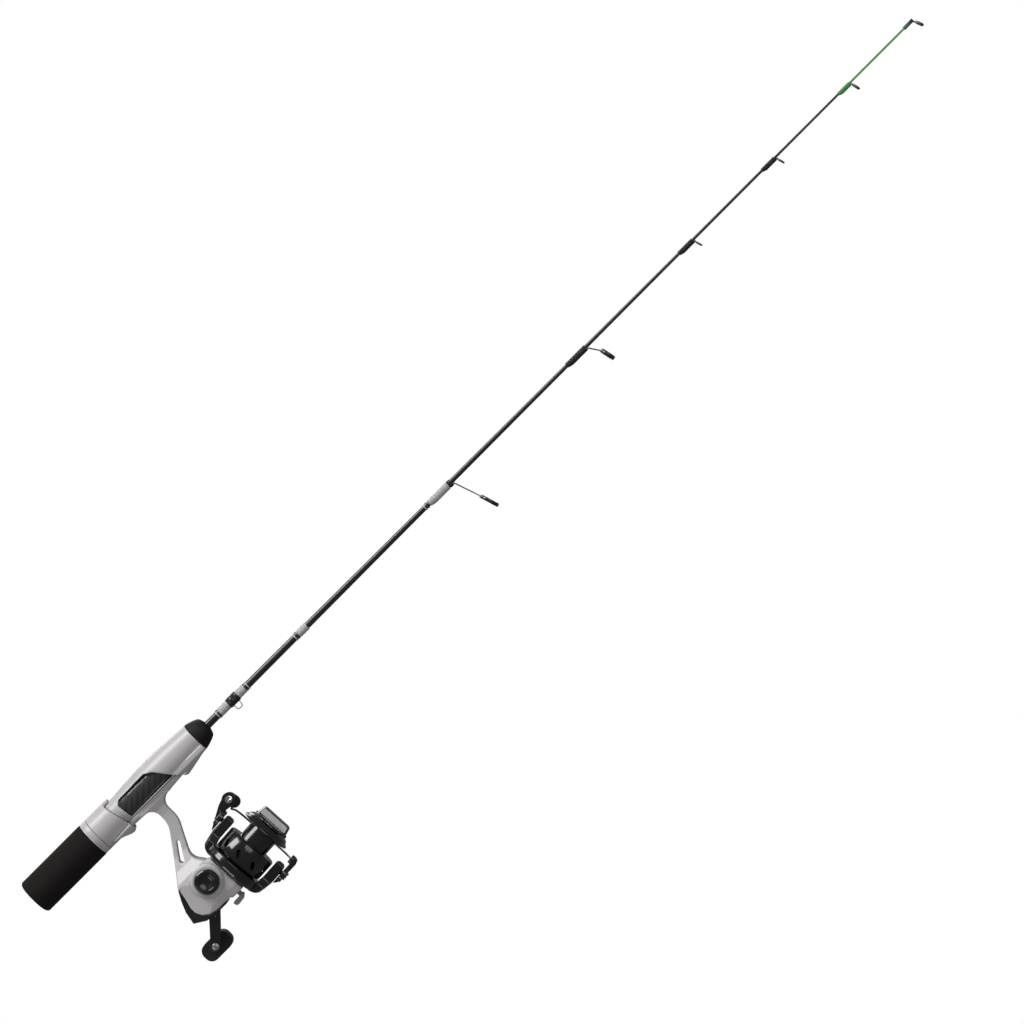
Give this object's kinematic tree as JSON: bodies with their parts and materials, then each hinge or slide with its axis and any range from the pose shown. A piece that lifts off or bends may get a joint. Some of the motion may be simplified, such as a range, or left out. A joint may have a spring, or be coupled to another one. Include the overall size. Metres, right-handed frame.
{
  "type": "ice fishing rod with spinning reel",
  "caption": "Short rod with line guides and a spinning reel on its handle: crank, rotor, bail, sliding spool, drag knob, folding roller arm and a screw-locked reel seat.",
  "frame": {"origin": "centre of the grip's rear end, on the rod's axis", "axes": "+X from the butt to the tip along the rod, +Z away from the reel, which hangs below, +Y the side the crank is on"},
  "size_m": [0.7653, 0.0775, 0.1192],
  "materials": {
    "foam": "matte closed-cell foam",
    "white_plastic": "gloss moulded",
    "carbon_weave": "clear coated weave",
    "black_blank": "clear coated",
    "green_blank": "clear coated",
    "filler": "matte",
    "nose_rubber": "satin",
    "pale_trim": "lacquered",
    "grey_trim": "lacquered",
    "white_thread": "lacquered thread",
    "black_thread": "lacquered thread",
    "green_thread": "lacquered thread",
    "black_wire": "gloss",
    "grey_wire": "satin",
    "ring_ceramic": "polished ceramic",
    "steel": "satin",
    "polished_steel": "polished",
    "gear_metal": "as cast",
    "brass": "machined",
    "black_plastic": "gloss moulded",
    "lever_grey": "satin",
    "black_metal": "gloss",
    "washer_felt": "matte",
    "silver_plate": "satin",
    "knob_rubber": "satin"
  },
  "bodies": {
    "rod": {"rod_blank": "black_blank", "tip_section": "green_blank", "guide_frame_1": "black_wire", "guide_frame_2": "black_wire", "guide_frame_3": "grey_wire", "guide_frame_4": "grey_wire", "guide_frame_5": "grey_wire", "guide_ring_1": "ring_ceramic", "guide_ring_2": "ring_ceramic", "tip_top": "grey_wire", "pale_rings": "pale_trim", "grey_rings": "grey_trim", "white_wraps": "white_thread", "black_wraps": "black_thread", "green_wrap": "green_thread", "hook_keeper": "steel", "seat_body": "white_plastic", "carbon_barrel": "carbon_weave", "blank_spacers": "filler", "nose_cone": "nose_rubber", "reel_housing": "white_plastic", "side_plate": "white_plastic", "rear_cover": "black_plastic", "side_cap": "black_plastic", "plate_screws": "steel", "gear_bearings": "polished_steel", "pinion_bearing": "polished_steel"},
    "hood": {"locking_hood": "white_plastic"},
    "grip": {"rear_grip": "foam", "lock_nut": "white_plastic"},
    "crank": {"drive_gear": "gear_metal", "crank_shaft": "steel", "crank_arm": "black_metal", "crank_cap": "black_plastic", "knob_pin": "steel"},
    "knob": {"crank_knob": "knob_rubber"},
    "oscillator": {"oscillation_gear": "gear_metal"},
    "shaft": {"main_shaft": "steel", "oscillation_slider": "gear_metal"},
    "spool": {"spool": "black_metal", "click_gear": "filler", "drag_washers": "washer_felt"},
    "drag": {"drag_knob": "black_plastic", "drag_knob_plates": "silver_plate"},
    "rotor": {"rotor": "black_plastic", "rotor_nut": "brass", "bail_hinge_screws": "steel", "bail_spring": "steel", "pinion_gear": "brass", "ratchet_wheel": "steel"},
    "bail": {"bail_arm": "black_plastic", "bail_trip_arm": "black_plastic", "bail_wire": "grey_wire", "wire_boss": "black_plastic", "roller_bush": "brass", "roller_screw": "polished_steel"},
    "roller": {"line_roller": "polished_steel"},
    "lever": {"anti_reverse_lever": "lever_grey", "anti_reverse_pawl": "steel"}
  },
  "joints": [
    {"name": "hood_slide", "type": "slide", "parent": "rod", "child": "hood", "axis": [1, 0, 0], "range_m": [-0.008, 0]},
    {"name": "grip_turn", "type": "hinge", "parent": "hood", "child": "grip", "pos_m": [0, 0, 0], "axis": [1, 0, 0], "range_deg": [0, 1440]},
    {"name": "crank_spin", "type": "hinge", "parent": "rod", "child": "crank", "pos_m": [0.0842, 0, -0.0676], "axis": [0, 1, 0], "continuous": true},
    {"name": "knob_spin", "type": "hinge", "parent": "crank", "child": "knob", "pos_m": [0.0533, 0, -0.1006], "axis": [0, 1, 0], "continuous": true},
    {"name": "rotor_spin", "type": "hinge", "parent": "rod", "child": "rotor", "pos_m": [0.0842, 0, -0.07357], "axis": [0.9984, 0, 0.0558], "continuous": true},
    {"name": "oscillator_spin", "type": "hinge", "parent": "rod", "child": "oscillator", "pos_m": [0.0754, 0, -0.0724], "axis": [0, 1, 0], "continuous": true},
    {"name": "spool_slide", "type": "slide", "parent": "rod", "child": "shaft", "axis": [0.9984, 0, 0.0558], "range_m": [0, 0.0075]},
    {"name": "spool_slip", "type": "hinge", "parent": "shaft", "child": "spool", "pos_m": [0.0842, 0, -0.07357], "axis": [0.9984, 0, 0.0558], "continuous": true},
    {"name": "drag_turn", "type": "hinge", "parent": "shaft", "child": "drag", "pos_m": [0.0842, 0, -0.07357], "axis": [0.9984, 0, 0.0558], "range_deg": [-360, 720]},
    {"name": "bail_flip", "type": "hinge", "parent": "rotor", "child": "bail", "pos_m": [0.11715, 0, -0.07173], "axis": [0.0558, 0, -0.9984], "range_deg": [0, 130]},
    {"name": "roller_spin", "type": "hinge", "parent": "bail", "child": "roller", "pos_m": [0.12798, 0, -0.04148], "axis": [0, 1, 0], "continuous": true},
    {"name": "lever_flip", "type": "hinge", "parent": "rod", "child": "lever", "pos_m": [0.09176, 0, -0.08346], "axis": [0.9984, 0, 0.0558], "range_deg": [0, 24]}
  ],
  "couplings": [
    {"joint": "hood_slide", "follows": "grip_turn", "m_per_rad": -0.00031831},
    {"joint": "rotor_spin", "follows": "crank_spin", "ratio": 5.1429},
    {"joint": "oscillator_spin", "follows": "crank_spin", "ratio": -0.76471}
  ]
}
